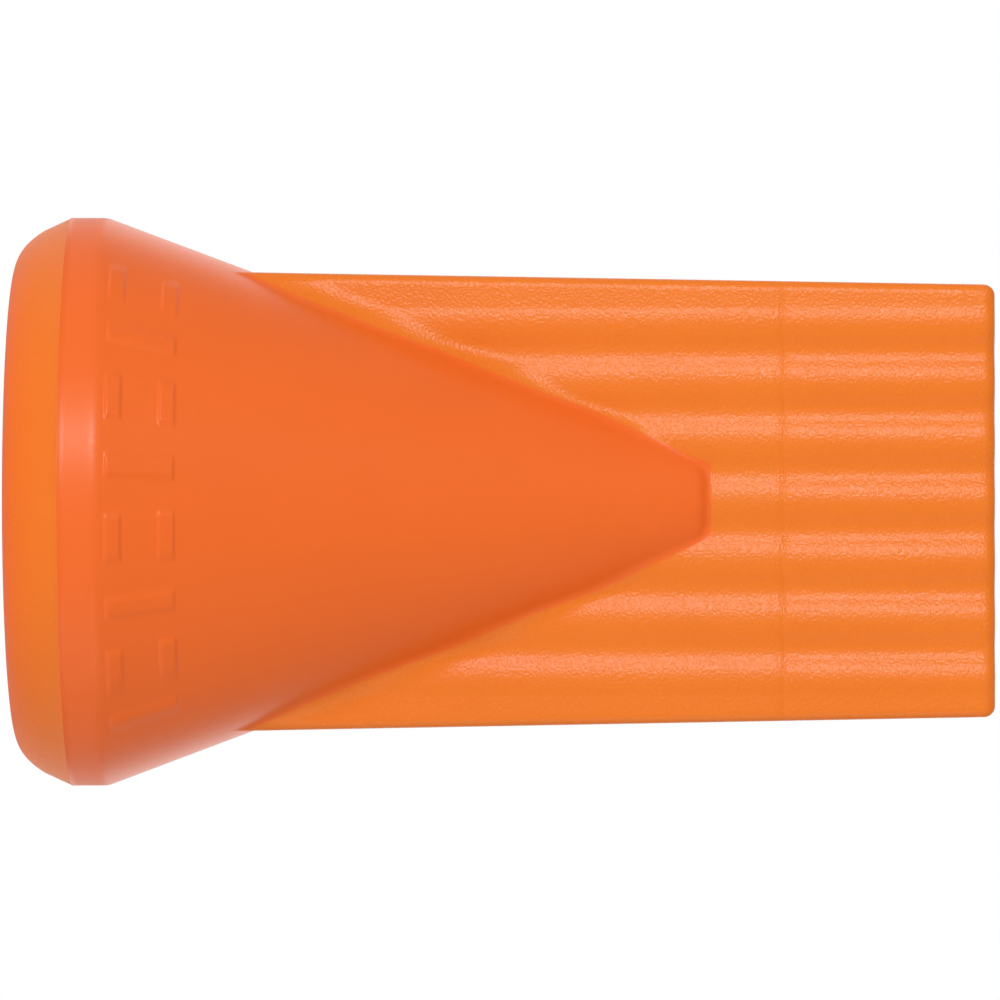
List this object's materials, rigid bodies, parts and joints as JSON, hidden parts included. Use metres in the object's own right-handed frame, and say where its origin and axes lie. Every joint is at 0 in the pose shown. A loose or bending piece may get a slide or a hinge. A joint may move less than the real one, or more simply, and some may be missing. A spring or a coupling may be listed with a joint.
{
  "type": "modular hose comb nozzle",
  "caption": "Flat comb nozzle: a round push-on bell narrows through a cone into a flat ribbed body with a row of parallel outlet channels, for a ball-and-socket coolant or air hose.",
  "frame": {"origin": "centre of the bell's open mouth, on the plane of its flat face; the nozzle stands on that face", "axes": "+Z along the axis from the mouth to the outlet face, X across the broad flat body, Y through its thickness"},
  "size_m": [0.0272, 0.0272, 0.0468],
  "materials": {
    "rim_acetal": "satin moulded acetal, orange",
    "body_acetal": "satin moulded acetal, orange",
    "comb_acetal": "fine spark-eroded moulded acetal, orange"
  },
  "bodies": {
    "root": {"socket_rim": "rim_acetal", "nozzle_body": "body_acetal", "outlet_comb": "comb_acetal"}
  },
  "joints": []
}
